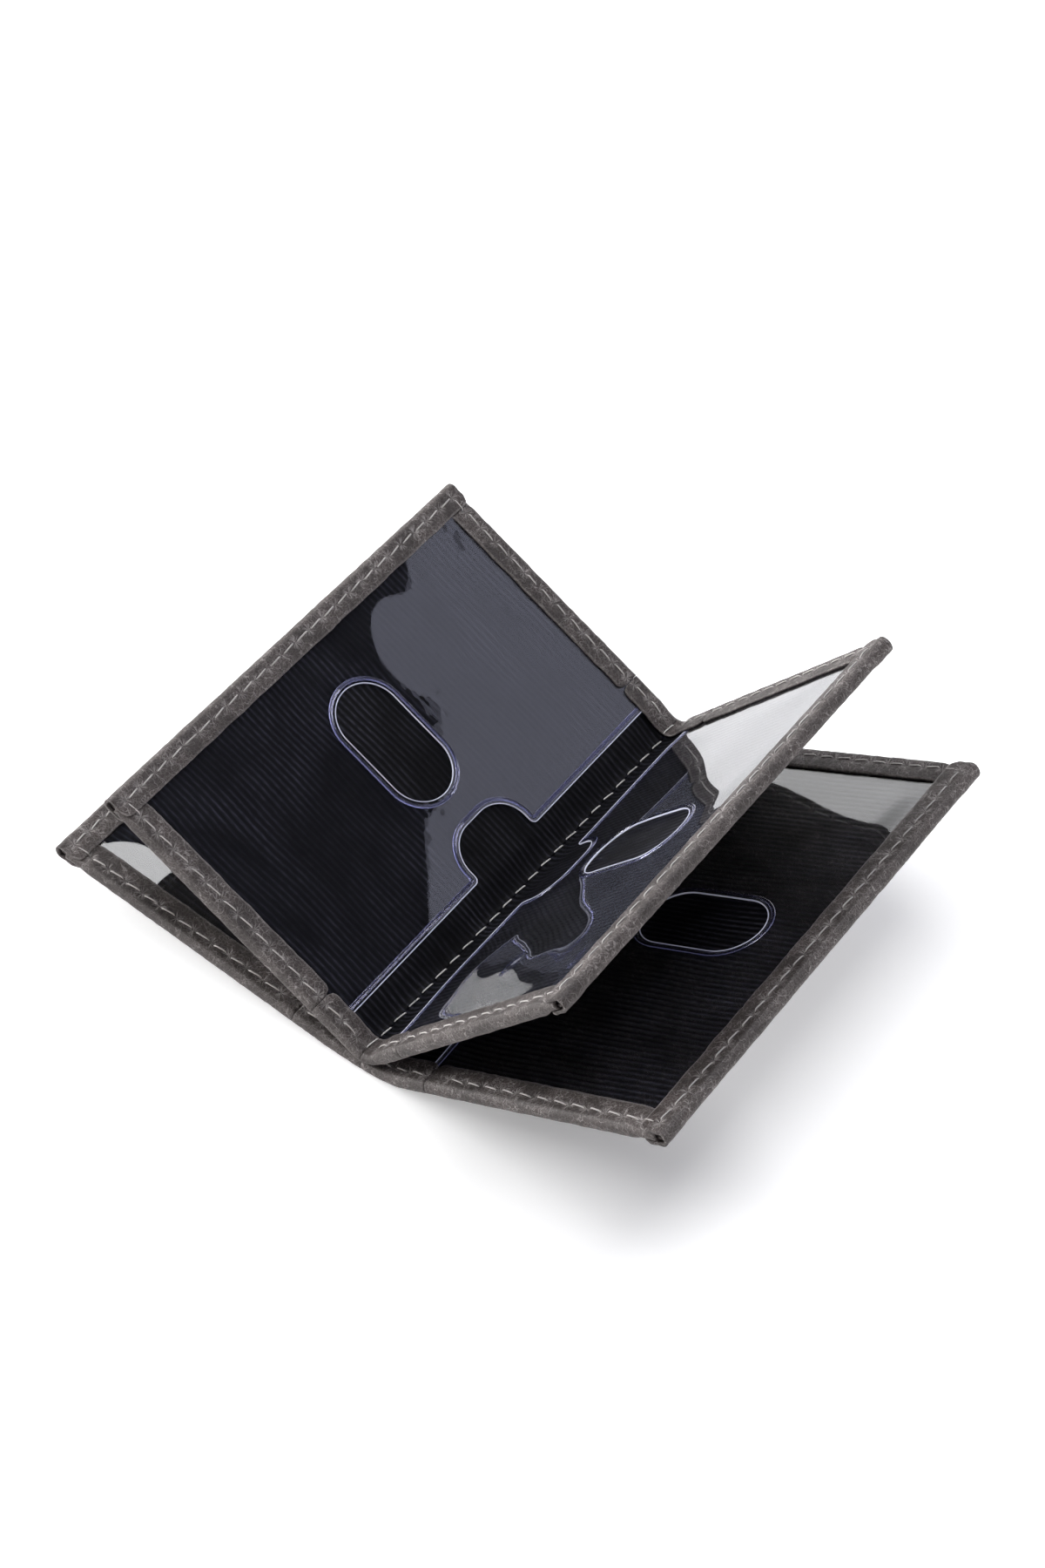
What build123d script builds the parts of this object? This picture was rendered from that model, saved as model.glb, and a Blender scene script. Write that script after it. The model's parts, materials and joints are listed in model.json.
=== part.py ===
"""Book-style card wallet: an outer cover of two leaves with a book of two inner leaves sewn into its
spine.  Every leaf has a clear pocket over a ribbed lining, and bound, stitched leather edges.

Frame: X across the spine, Y along the spine, Z up, origin at the middle of the spine's underside.
Each leaf is drawn flat in its own frame (u away from its hinge, v along the spine, w out of its
pocket face), then turned up to the angle at which the wallet stands open.  Millimetres and degrees.
"""
from build123d import *
import os

# Overall sizes
HEIGHT = 100.0                # along the spine, the same for the cover and the book
INNER_LEAF = 60.2             # from the hinge line to the free edge
COVER_LEAF = 63.6
LEAF_THICKNESS = 2.8

# Hinge lines and the angles of the leaves above the table in the rest pose
INNER_HINGE_X = 2.6
INNER_HINGE_Z = 4.4
COVER_HINGE_X = 6.0
COVER_HINGE_Z = LEAF_THICKNESS / 2
INNER_LEFT_ANGLE = 28.13
INNER_RIGHT_ANGLE = 51.09
COVER_LEFT_ANGLE = 7.87
COVER_RIGHT_ANGLE = 28.79

# Layers of one leaf, from its back face to its pocket face
STRIP_THICKNESS = 0.6
PANEL_THICKNESS = 0.7
BOARD_THICKNESS = 0.3
LINING_THICKNESS = 0.15
WINDOW_THICKNESS = 0.3

# Edge binding
INNER_BORDER = 5.2            # width of the strip on each face
COVER_BORDER = 5.6
EDGE_ROUNDING = 1.2
EDGE_CLEARANCE = 0.05
TAB_END = 9.1                 # where the spine's strip gives way to the leaf's own strip
STRIP_GAP = 0.1

# Start of each leaf's stiff layers, measured from its hinge line
INNER_START = 1.5
COVER_START = 2.0

# Clear pocket
POCKET_WIDTH = 56.5           # from its spine-side edge to the leaf's free edge
SLOT_FROM_FREE_EDGE = 27.9
SLOT_LENGTH = 26.2
SLOT_WIDTH = 14.0
SLOT_OFFSET_V = 0.4
NOTCH_WIDTH = 17.2
NOTCH_DEPTH = 8.7
NOTCH_RADIUS = 6.5
NOTCH_MOUTH_RADIUS = 1.0
NOTCH_OFFSET_V = 1.1
WINDOW_INSET = 1.0            # the clear sheet stops short of the leaf's edge

# Thread
STITCH_FROM_EDGE = 2.4
STITCH_PITCH = 4.0
STITCH_LENGTH = 2.7
STITCH_WIDTH = 0.45
STITCH_PROUD = 0.2

# The leather is skived thin under the binding and full between the strips
FIELD_RECESS = 0.25           # how far a leaf's leather lies below its binding

# Spine layers, from the table up
SPINE_LINING_THICKNESS = 0.2
COVER_SPINE_WIDTH = 11.0
INNER_SPINE_WIDTH = 4.4
SPINE_STITCH_INSET = 3.2      # from each end of the spine to its first stitch


def slab(u0, u1, half_v, w0, w1):
    """Plate from u0 to u1, as far as half_v each way along the spine, between two heights."""
    plate = Box(u1 - u0, 2 * half_v, w1 - w0)
    return Pos((u0 + u1) / 2, 0, (w0 + w1) / 2) * plate


def skived_leather(core, field_u0, field_u1, border, w_field, w_core):
    """Leather layer whose full-thickness field fills in between the binding strips."""
    half_v = HEIGHT / 2 - border - EDGE_CLEARANCE
    return core + slab(field_u0, field_u1, half_v, w_field, w_core)


def binding_section(border, thickness=LEAF_THICKNESS, rounding=EDGE_ROUNDING):
    """Folded strip in section: x runs inward from the bound edge, y through the thickness."""
    outer = Pos(border / 2, 0) * Rectangle(border, thickness)
    edge_corners = outer.vertices().group_by(Axis.X)[0]
    outer = fillet(edge_corners, rounding)
    channel_depth = border - STRIP_THICKNESS
    channel = Rectangle(channel_depth, thickness - 2 * STRIP_THICKNESS)
    return outer - Pos(STRIP_THICKNESS + channel_depth / 2, 0) * channel


def strip_along_u(u0, u1, side, border, thickness=LEAF_THICKNESS, mid_w=0.0, rounding=EDGE_ROUNDING):
    """Binding on the near (side -1) or far (side +1) edge, running away from the spine."""
    section = binding_section(border, thickness, rounding)
    frame = Plane(origin=(u0, side * HEIGHT / 2, mid_w), x_dir=(0, -side, 0), z_dir=(1, 0, 0))
    return extrude(frame * section, amount=u1 - u0, dir=(1, 0, 0))


def strip_along_v(leaf_length, border):
    """Binding on the free edge, running the whole height with open folded ends."""
    section = binding_section(border)
    frame = Plane(origin=(leaf_length, -HEIGHT / 2, 0), x_dir=(-1, 0, 0), z_dir=(0, 1, 0))
    return extrude(frame * section, amount=HEIGHT, dir=(0, 1, 0))


def window_sheet(leaf_length, w0, w1):
    """Clear pocket sheet with its thumb slot and the thumb notch in its spine-side edge."""
    u0 = leaf_length - POCKET_WIDTH
    u1 = leaf_length - WINDOW_INSET
    half_v = HEIGHT / 2 - WINDOW_INSET
    outline = Pos((u0 + u1) / 2, 0) * Rectangle(u1 - u0, 2 * half_v)
    slot = SlotOverall(SLOT_LENGTH, SLOT_WIDTH)
    outline -= Pos(leaf_length - SLOT_FROM_FREE_EDGE, SLOT_OFFSET_V) * slot
    notch_centre = Pos(u0, NOTCH_OFFSET_V)
    outline -= notch_centre * RectangleRounded(2 * NOTCH_DEPTH, NOTCH_WIDTH, NOTCH_RADIUS)
    mouth = [p for p in outline.vertices() if abs(p.X - u0) < 1e-6 and abs(p.Y) < NOTCH_WIDTH]
    outline = fillet(mouth, NOTCH_MOUTH_RADIUS)
    return Pos(0, 0, w0) * extrude(outline, amount=w1 - w0, dir=(0, 0, 1))


def stitch(u, v, w, along_u):
    size_u = STITCH_LENGTH if along_u else STITCH_WIDTH
    size_v = STITCH_WIDTH if along_u else STITCH_LENGTH
    return Pos(u, v, w) * Box(size_u, size_v, STITCH_PROUD)


def centred_steps(length):
    """Centres of evenly pitched stitches on a line of the given length, about its middle."""
    count = int(length // STITCH_PITCH)
    return [(i - (count - 1) / 2) * STITCH_PITCH for i in range(count)]


def leaf_stitches(leaf_length, start):
    """Thread on both faces of one leaf, along its near, free and far edges."""
    line_v = HEIGHT / 2 - STITCH_FROM_EDGE
    line_u = leaf_length - STITCH_FROM_EDGE
    middle_u = (start + line_u) / 2
    solids = []
    for face in (-1, 1):
        w = face * (LEAF_THICKNESS + STITCH_PROUD) / 2
        for side in (-1, 1):
            for step in centred_steps(line_u - start):
                solids.append(stitch(middle_u + step, side * line_v, w, True))
        for step in centred_steps(2 * line_v - STITCH_PITCH):
            solids.append(stitch(line_u, step, w, False))
    return solids


def leaf_parts(leaf_length, start, border):
    """All pieces of one leaf, flat in its own frame, as name to list of solids."""
    core_u = leaf_length - STRIP_THICKNESS - EDGE_CLEARANCE
    core_v = HEIGHT / 2 - STRIP_THICKNESS - EDGE_CLEARANCE
    w_back = -LEAF_THICKNESS / 2 + STRIP_THICKNESS
    w_panel = w_back + PANEL_THICKNESS
    w_board = w_panel + BOARD_THICKNESS
    w_lining = w_board + LINING_THICKNESS
    w_top = LEAF_THICKNESS / 2 - STRIP_THICKNESS
    strip_end = leaf_length - border - STRIP_GAP
    w_field = FIELD_RECESS - LEAF_THICKNESS / 2
    leather = slab(start, core_u, core_v, w_back, w_panel)
    parts = {
        "leather": [skived_leather(leather, start, strip_end, border, w_field, w_back)],
        "board": [slab(start, core_u, core_v, w_panel, w_board)],
        "lining": [slab(start, core_u, core_v, w_board, w_lining)],
        "window": [window_sheet(leaf_length, w_top - WINDOW_THICKNESS, w_top)],
        "binding_free": [strip_along_v(leaf_length, border)],
        "binding_near": [strip_along_u(TAB_END, strip_end, -1, border)],
        "binding_far": [strip_along_u(TAB_END, strip_end, 1, border)],
        "spine_tabs": [],
        "stitches": leaf_stitches(leaf_length, start),
    }
    for side in (-1, 1):
        parts["spine_tabs"].append(strip_along_u(start, TAB_END - STRIP_GAP, side, border))
    return parts


def stand_up(solid, side, hinge_x, hinge_z, angle):
    """Move a flat leaf piece to its hinge and raise its free edge; side -1 is the left leaf."""
    if side < 0:
        solid = solid.mirror(Plane.YZ)
    return Pos(side * hinge_x, 0, hinge_z) * Rot(0, -side * angle, 0) * solid


def spine_parts():
    """The fixed spine: cover layers, book layers, end strips and the thread through all of them."""
    core_v = HEIGHT / 2 - STRIP_THICKNESS - EDGE_CLEARANCE
    band = PANEL_THICKNESS + SPINE_LINING_THICKNESS
    stack = band + 2 * STRIP_THICKNESS
    half_cover = COVER_SPINE_WIDTH / 2
    half_inner = INNER_SPINE_WIDTH / 2
    parts = {}
    for name, half_width, base, border in (("cover", half_cover, 0.0, COVER_BORDER),
                                           ("inner", half_inner, stack, INNER_BORDER)):
        w_leather = base + STRIP_THICKNESS
        w_lining = w_leather + PANEL_THICKNESS
        w_top = w_lining + SPINE_LINING_THICKNESS
        leather = slab(-half_width, half_width, core_v, w_leather, w_lining)
        parts[name + "_spine_leather"] = [
            skived_leather(leather, -half_width, half_width, border, base, w_leather)]
        parts[name + "_spine_lining"] = [slab(-half_width, half_width, core_v, w_lining, w_top)]
        parts[name + "_spine_strips"] = [
            strip_along_u(-half_width, half_width, side, border, stack, base + stack / 2,
                          stack / 2 - EDGE_CLEARANCE)
            for side in (-1, 1)]
    stitch_line = HEIGHT - 2 * (INNER_BORDER + SPINE_STITCH_INSET / 2)
    top = 2 * stack - STRIP_THICKNESS
    parts["spine_stitches"] = [
        stitch(0, step, top + STITCH_PROUD / 2, False) for step in centred_steps(stitch_line)]
    return parts


LEAVES = {
    "cover_left": (-1, COVER_HINGE_X, COVER_HINGE_Z, COVER_LEFT_ANGLE),
    "cover_right": (1, COVER_HINGE_X, COVER_HINGE_Z, COVER_RIGHT_ANGLE),
    "inner_left": (-1, INNER_HINGE_X, INNER_HINGE_Z, INNER_LEFT_ANGLE),
    "inner_right": (1, INNER_HINGE_X, INNER_HINGE_Z, INNER_RIGHT_ANGLE),
}


def build_wallet():
    """Every node of the wallet at rest, as name to list of solids."""
    nodes = spine_parts()
    flat = {
        "cover": leaf_parts(COVER_LEAF, COVER_START, COVER_BORDER),
        "inner": leaf_parts(INNER_LEAF, INNER_START, INNER_BORDER),
    }
    for leaf, (side, hinge_x, hinge_z, angle) in LEAVES.items():
        for piece, solids in flat[leaf.split("_")[0]].items():
            nodes[leaf + "_" + piece] = [
                stand_up(solid, side, hinge_x, hinge_z, angle) for solid in solids]
    return nodes


def write_parts():
    os.makedirs("parts", exist_ok=True)
    for name, solids in build_wallet().items():
        shape = solids[0] if len(solids) == 1 else Compound(children=solids)
        export_step(shape, "parts/" + name + ".step")
        print(name, len(solids))


write_parts()
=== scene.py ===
import json
import math
import bmesh
import bpy
import numpy as np
from mathutils import Matrix, Vector
from mathutils.geometry import delaunay_2d_cdt

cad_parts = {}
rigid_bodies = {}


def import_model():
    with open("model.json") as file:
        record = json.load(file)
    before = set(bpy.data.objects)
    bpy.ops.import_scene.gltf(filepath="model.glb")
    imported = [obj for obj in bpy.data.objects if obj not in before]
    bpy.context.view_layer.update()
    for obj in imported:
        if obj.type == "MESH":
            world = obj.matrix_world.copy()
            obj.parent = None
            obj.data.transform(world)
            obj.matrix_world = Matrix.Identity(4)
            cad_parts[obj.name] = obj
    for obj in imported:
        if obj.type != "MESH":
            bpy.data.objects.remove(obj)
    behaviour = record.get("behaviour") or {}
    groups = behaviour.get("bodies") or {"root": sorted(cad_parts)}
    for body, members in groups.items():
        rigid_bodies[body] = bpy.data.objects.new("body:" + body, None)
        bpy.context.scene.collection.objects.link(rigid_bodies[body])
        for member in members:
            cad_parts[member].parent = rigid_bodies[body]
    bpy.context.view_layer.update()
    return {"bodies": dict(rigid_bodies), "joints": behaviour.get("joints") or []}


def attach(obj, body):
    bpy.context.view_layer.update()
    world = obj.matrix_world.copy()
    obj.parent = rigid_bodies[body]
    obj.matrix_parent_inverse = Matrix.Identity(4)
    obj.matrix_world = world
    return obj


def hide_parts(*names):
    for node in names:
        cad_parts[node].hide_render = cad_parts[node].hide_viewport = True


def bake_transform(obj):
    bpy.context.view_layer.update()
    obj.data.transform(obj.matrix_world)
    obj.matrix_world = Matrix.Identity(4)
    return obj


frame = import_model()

MM = 0.001

# Leaf sizes, as in the CAD model
HEIGHT = 100.0
LEAF_LENGTH = {"inner": 60.2, "cover": 63.6}      # hinge to free edge
BORDER = {"inner": 5.2, "cover": 5.6}             # width of the binding on each face
HALF_THICKNESS = 1.4
STRIP = 0.6                                       # thickness of the binding leather
EDGE_ROUND = 1.05                                 # how far the rolled edge bends in from the side
TAB_END = 9.1                                     # hinge to the butt of spine strip and leaf strip
POCKET_WIDTH = 56.5
SLOT_FROM_FREE_EDGE = 27.9
SLOT_HALF_LENGTH = 13.1
SLOT_RADIUS = 7.0
SLOT_V = 0.4
NOTCH_HALF = 8.6
NOTCH_DEPTH = 8.7
NOTCH_RADIUS = 6.5
NOTCH_MOUTH = 1.0
NOTCH_V = 1.1

# Stitching
STITCH_INSET = 2.4
STITCH_PITCH = 3.967
STITCH_LENGTH = 2.9
THREAD_RADIUS = 0.15

# How the leaf layers pass over the spine
RIGID_FROM = 3.0                                  # from here out a leaf is straight
SPINE_SQUEEZE = 0.75                              # layers lie closer together in the spine
SPINE_BASE = {"inner": 2.1, "cover": 0.0}

# Lining
RIB_PITCH = 1.25
RIB_HEIGHT = 0.14
LINING_TOP = 0.33
LINING_BOTTOM = 0.2


# ---------------------------------------------------------------- leaves and meshes

class Leaf:
    """One leaf: where its hinge is, how far it is raised and how its flat frame maps to the model."""

    def __init__(self, name):
        self.name = name
        self.kind = name.split("_")[0]
        self.side = -1 if name.endswith("left") else 1
        joint = next(j for j in frame["joints"] if j["child"] == name)
        self.hinge_t = abs(joint["pos_m"][0]) / MM
        self.hinge_z = joint["pos_m"][2] / MM
        self.angle = math.radians(90 - joint["range_deg"][1])
        self.border = BORDER[self.kind]
        self.end = self.hinge_t + LEAF_LENGTH[self.kind]
        self.tab_end = self.hinge_t + TAB_END
        self.straight_from = self.hinge_t + RIGID_FROM
        self.seed = 100 * (1 + sorted(frame["bodies"]).index(name))

    def place(self, t, v, w, sink=0.0):
        """Model coordinates in millimetres of points of the flat frame."""
        t, v, w = np.broadcast_arrays(np.asarray(t, float), v, w)
        c, s = math.cos(self.angle), math.sin(self.angle)
        out = t - self.hinge_t
        x = self.hinge_t + out * c - w * s
        z = self.hinge_z + out * s + w * c
        reach = self.straight_from
        k = np.clip(t / reach, 0, 1)
        x1 = self.hinge_t + RIGID_FROM * c - w * s
        z1 = self.hinge_z + RIGID_FROM * s + w * c
        z0 = SPINE_BASE[self.kind] + (w + HALF_THICKNESS) * SPINE_SQUEEZE - sink
        h00 = 2 * k ** 3 - 3 * k ** 2 + 1
        h10 = k ** 3 - 2 * k ** 2 + k
        h01 = 3 * k ** 2 - 2 * k ** 3
        h11 = k ** 3 - k ** 2
        curved_x = h10 * reach + h01 * x1 + h11 * reach * c
        curved_z = h00 * z0 + h01 * z1 + h11 * reach * s
        x = np.where(t < reach, curved_x, x)
        z = np.where(t < reach, curved_z, z)
        return np.stack([self.side * x, v, z], axis=-1)

    def attach(self, piece, flexible):
        """Ride on the leaf, or, for a piece already shaped from the spine to the leaf across its hinge, keep
        its place baked in and stay on no body.
        """
        if not flexible:
            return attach(piece, self.name)
        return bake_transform(piece)


def ripple(points, size, seed, waves=9):
    """Smooth noise of about -1 to 1 whose humps are about size across."""
    rng = np.random.default_rng(seed)
    total = np.zeros(points.shape[:-1])
    for _ in range(waves):
        direction = rng.normal(size=points.shape[-1])
        direction /= np.linalg.norm(direction)
        wavelength = size * rng.uniform(0.7, 1.8)
        total += np.sin(points @ direction * 2 * math.pi / wavelength + rng.uniform(0, 2 * math.pi))
    return total / math.sqrt(waves)


def smooth(x):
    x = np.clip(x, 0, 1)
    return x * x * (3 - 2 * x)


def quads(rows, columns, closed=False):
    """Faces of a grid of rows by columns; closed joins the last column to the first."""
    i, j = np.meshgrid(np.arange(rows - 1), np.arange(columns if closed else columns - 1), indexing="ij")
    k = (j + 1) % columns
    return np.stack([i * columns + j, i * columns + k, (i + 1) * columns + k, (i + 1) * columns + j],
                    axis=-1).reshape(-1, 4)


def store(mesh, name, kind, values):
    slot = "vector" if kind == "FLOAT_VECTOR" else "value"
    mesh.attributes.new(name, kind, "POINT").data.foreach_set(slot, np.asarray(values, np.float32).ravel())


def make_piece(name, points_mm, faces, material, flat=None, wear=None, seam=None):
    """Mesh object with smooth faces.

    flat keeps each point's place before bending, the wear values how rubbed the leather is (on the lining,
    how much painted sheen its rib crowns get) and seam its place from the needle holes, all for the
    materials.
    """
    mesh = bpy.data.meshes.new(name)
    mesh.from_pydata((np.asarray(points_mm) * MM).tolist(), [], [list(map(int, f)) for f in faces])
    mesh.polygons.foreach_set("use_smooth", [True] * len(mesh.polygons))
    if flat is not None:
        store(mesh, "flat", "FLOAT_VECTOR", np.asarray(flat, float) * MM)
    if wear is not None:
        store(mesh, "wear", "FLOAT", wear)
    if seam is not None:
        store(mesh, "seam", "FLOAT_VECTOR", seam)
    mesh.materials.append(material)
    mesh.validate()
    mesh.update()
    piece = bpy.data.objects.new(name, mesh)
    bpy.context.scene.collection.objects.link(piece)
    return piece


def sheet_solid(top, bottom, rows, columns):
    """Points and faces of a closed thin solid between two grids."""
    points = np.concatenate([top.reshape(-1, 3), bottom.reshape(-1, 3)])
    upper = quads(rows, columns)
    count = rows * columns
    lower = upper[:, ::-1] + count
    rim = np.concatenate([
        np.arange(columns),
        np.arange(1, rows) * columns + columns - 1,
        (rows - 1) * columns + np.arange(columns - 2, -1, -1),
        np.arange(rows - 2, 0, -1) * columns,
    ])
    following = np.roll(rim, -1)
    wall = np.stack([following, rim, rim + count, following + count], axis=-1)
    return points, np.concatenate([upper, lower, wall])


# ---------------------------------------------------------------- materials

def new_material(name):
    material = bpy.data.materials.new(name)
    material.use_nodes = True
    return material, material.node_tree.nodes, material.node_tree.links


def texture(nodes, links, kind, vector, **settings):
    """Texture node on the given vector; settings are its inputs by name or its properties."""
    node = nodes.new(kind)
    links.new(vector, node.inputs["Vector"])
    for key, value in settings.items():
        if key in node.inputs:
            node.inputs[key].default_value = value
        else:
            setattr(node, key, value)
    return node


def stretch(nodes, links, vector, scale):
    node = nodes.new("ShaderNodeMapping")
    node.inputs["Scale"].default_value = scale
    links.new(vector, node.inputs["Vector"])
    return node.outputs["Vector"]


def remap(nodes, links, value, low, high, to_low, to_high):
    node = nodes.new("ShaderNodeMapRange")
    for key, number in zip(("From Min", "From Max", "To Min", "To Max"), (low, high, to_low, to_high)):
        node.inputs[key].default_value = number
    links.new(value, node.inputs["Value"])
    return node.outputs["Result"]


def maths(nodes, links, operation, a, b):
    node = nodes.new("ShaderNodeMath")
    node.operation = operation
    for socket, value in zip(node.inputs, (a, b)):
        if isinstance(value, (int, float)):
            socket.default_value = value
        else:
            links.new(value, socket)
    return node.outputs["Value"]


def mix_colour(nodes, links, factor, a, b):
    node = nodes.new("ShaderNodeMix")
    node.data_type = "RGBA"
    links.new(factor, node.inputs["Factor"])
    for socket, value in zip((node.inputs[6], node.inputs[7]), (a, b)):
        if isinstance(value, tuple):
            socket.default_value = (*value, 1.0)
        else:
            links.new(value, socket)
    return node.outputs[2]


def bump(nodes, links, height, distance, strength, shader):
    node = nodes.new("ShaderNodeBump")
    node.inputs["Distance"].default_value = distance
    node.inputs["Strength"].default_value = strength
    links.new(height, node.inputs["Height"])
    links.new(node.outputs["Normal"], shader.inputs["Normal"])


def attribute(nodes, name, output="Vector"):
    node = nodes.new("ShaderNodeAttribute")
    node.attribute_name = name
    return node.outputs[output]


def thin_lines(nodes, links, vector, scale, width):
    """Fine curved lines, where smooth noise crosses its middle value."""
    noise = texture(nodes, links, "ShaderNodeTexNoise", vector, Scale=scale, Detail=1.5)
    middle = maths(nodes, links, "ABSOLUTE", maths(nodes, links, "SUBTRACT", noise.outputs["Fac"], 0.5), 0.0)
    return remap(nodes, links, middle, 0.0, width, 1.0, 0.0)


def pucker_star(nodes, links):
    """Small wrinkles that radiate from each needle hole, from the seam attribute."""
    seam = nodes.new("ShaderNodeSeparateXYZ")
    links.new(attribute(nodes, "seam"), seam.inputs[0])
    shifted = maths(nodes, links, "ADD", seam.outputs["X"], 0.5)
    along = maths(nodes, links, "SUBTRACT", maths(nodes, links, "FRACT", shifted, 0.0), 0.5)
    along = maths(nodes, links, "MULTIPLY", along, STITCH_PITCH)
    across = seam.outputs["Y"]
    reach = nodes.new("ShaderNodeCombineXYZ")
    links.new(along, reach.inputs["X"])
    links.new(across, reach.inputs["Y"])
    length = nodes.new("ShaderNodeVectorMath")
    length.operation = "LENGTH"
    links.new(reach.outputs[0], length.inputs[0])
    angle = maths(nodes, links, "ARCTAN2", across, along)
    spokes = nodes.new("ShaderNodeCombineXYZ")
    links.new(maths(nodes, links, "COSINE", angle, 0.0), spokes.inputs["X"])
    links.new(maths(nodes, links, "SINE", angle, 0.0), spokes.inputs["Y"])
    links.new(maths(nodes, links, "FLOOR", shifted, 0.0), spokes.inputs["Z"])
    noise = texture(nodes, links, "ShaderNodeTexNoise", spokes.outputs[0], Scale=3.4, Detail=1.0)
    ray = remap(nodes, links, noise.outputs["Fac"], 0.47, 0.62, 0.0, 1.0)
    fade = remap(nodes, links, length.outputs["Value"], 0.15, 1.5, 1.0, 0.0)
    return maths(nodes, links, "MULTIPLY", ray, fade)


def leather_material(name, deep, mid, rubbed):
    """Distressed leather: dark grain under a web of pale wrinkles, rubbed at holes and edges."""
    material, nodes, links = new_material(name)
    shader = nodes["Principled BSDF"]
    place = attribute(nodes, "flat")
    wear = attribute(nodes, "wear", "Fac")
    warp = texture(nodes, links, "ShaderNodeTexNoise", place, Scale=900.0, Detail=3.0)
    bent = nodes.new("ShaderNodeVectorMath")
    bent.operation = "MULTIPLY_ADD"
    links.new(warp.outputs["Color"], bent.inputs[0])
    bent.inputs[1].default_value = (0.0009, 0.0009, 0.0009)
    links.new(place, bent.inputs[2])
    patches = texture(nodes, links, "ShaderNodeTexNoise", place, Scale=170.0, Detail=4.0, Roughness=0.6)
    patch = remap(nodes, links, patches.outputs["Fac"], 0.40, 0.64, 0.0, 1.0)
    grain = texture(nodes, links, "ShaderNodeTexVoronoi", bent.outputs["Vector"], Scale=1350.0,
                    feature="DISTANCE_TO_EDGE")
    cells = remap(nodes, links, grain.outputs["Distance"], 0.0, 0.08, 1.0, 0.0)
    wrinkles = thin_lines(nodes, links, bent.outputs["Vector"], 620.0, 0.018)
    hairs = thin_lines(nodes, links, place, 1150.0, 0.02)
    web = maths(nodes, links, "MAXIMUM", maths(nodes, links, "MULTIPLY", cells, 0.35),
                maths(nodes, links, "MAXIMUM", wrinkles, maths(nodes, links, "MULTIPLY", hairs, 0.5)))
    web = maths(nodes, links, "MULTIPLY", web,
                remap(nodes, links, patches.outputs["Fac"], 0.36, 0.62, 0.2, 0.68))
    star = pucker_star(nodes, links)
    speckle = texture(nodes, links, "ShaderNodeTexNoise", place, Scale=2600.0, Detail=3.0, Roughness=0.7)
    worn = maths(nodes, links, "MULTIPLY", wear,
                 remap(nodes, links, speckle.outputs["Fac"], 0.36, 0.62, 0.3, 1.0))
    rub = maths(nodes, links, "ADD", maths(nodes, links, "ADD", web, worn),
                maths(nodes, links, "MULTIPLY", star, 0.8))
    rub = maths(nodes, links, "MINIMUM", rub, 1.0)
    base = mix_colour(nodes, links, patch, deep, mid)
    colour = mix_colour(nodes, links, rub, base, rubbed)
    links.new(colour, shader.inputs["Base Color"])
    links.new(remap(nodes, links, speckle.outputs["Fac"], 0.3, 0.7, 0.48, 0.7), shader.inputs["Roughness"])
    height = maths(nodes, links, "ADD", maths(nodes, links, "MULTIPLY", web, 0.6),
                   maths(nodes, links, "MULTIPLY", speckle.outputs["Fac"], 0.5))
    height = maths(nodes, links, "ADD", height, star)
    bump(nodes, links, height, 0.00018, 0.8, shader)
    shader.inputs["Specular IOR Level"].default_value = 0.35
    return material


def lining_material():
    """Near-black ribbed lining; a watered sheen on its rib crowns is painted into its colour as lighter
    cloth.
    """
    material, nodes, links = new_material("ribbed_lining")
    shader = nodes["Principled BSDF"]
    place = attribute(nodes, "flat")
    # Rib crowns, stored with the wear values, mask the painted sheen
    crown = attribute(nodes, "wear", "Fac")
    water = texture(nodes, links, "ShaderNodeTexNoise", stretch(nodes, links, place, (0.5, 1.0, 1.0)),
                    Scale=70.0, Detail=2.0, Distortion=1.2)
    threads = texture(nodes, links, "ShaderNodeTexNoise", stretch(nodes, links, place, (0.25, 1.0, 1.0)),
                      Scale=3200.0, Detail=2.0)
    slubs = texture(nodes, links, "ShaderNodeTexNoise", place, Scale=2600.0, Detail=2.0)
    # Painted sheen: the cloth is coloured lighter on the rib crowns where the watered bands run, standing in
    # for their highlight
    painted_sheen = maths(nodes, links, "MULTIPLY",
                  remap(nodes, links, water.outputs["Fac"], 0.38, 0.66, 0.15, 1.0),
                  remap(nodes, links, threads.outputs["Fac"], 0.35, 0.65, 0.35, 1.0))
    painted_sheen = maths(nodes, links, "MULTIPLY", painted_sheen, maths(nodes, links, "POWER", crown, 2.5))
    links.new(mix_colour(nodes, links, painted_sheen, (0.0014, 0.0014, 0.0022), (0.034, 0.034, 0.046)),
              shader.inputs["Base Color"])
    links.new(remap(nodes, links, water.outputs["Fac"], 0.35, 0.7, 0.62, 0.42), shader.inputs["Roughness"])
    height = maths(nodes, links, "ADD", threads.outputs["Fac"], slubs.outputs["Fac"])
    bump(nodes, links, height, 0.00008, 0.6, shader)
    shader.inputs["Specular IOR Level"].default_value = 0.08
    return material


def clear_material(name, colour, roughness, ripples):
    """Flexible clear plastic with faint surface ripples, which lets the lamps through."""
    material, nodes, links = new_material(name)
    shader = nodes["Principled BSDF"]
    place = attribute(nodes, "flat")
    shader.inputs["Base Color"].default_value = (*colour, 1.0)
    shader.inputs["Transmission Weight"].default_value = 1.0
    shader.inputs["IOR"].default_value = 1.5
    shader.inputs["Roughness"].default_value = roughness
    waves = texture(nodes, links, "ShaderNodeTexNoise", place, Scale=260.0, Detail=1.0)
    bump(nodes, links, waves.outputs["Fac"], 0.0001, ripples, shader)
    path = nodes.new("ShaderNodeLightPath")
    clear = nodes.new("ShaderNodeBsdfTransparent")
    clear.inputs["Color"].default_value = (*colour, 1.0)
    either = nodes.new("ShaderNodeMixShader")
    links.new(maths(nodes, links, "MAXIMUM", path.outputs["Is Shadow Ray"], path.outputs["Is Diffuse Ray"]),
              either.inputs["Fac"])
    links.new(shader.outputs[0], either.inputs[1])
    links.new(clear.outputs[0], either.inputs[2])
    links.new(either.outputs[0], nodes["Material Output"].inputs["Surface"])
    return material


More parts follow.
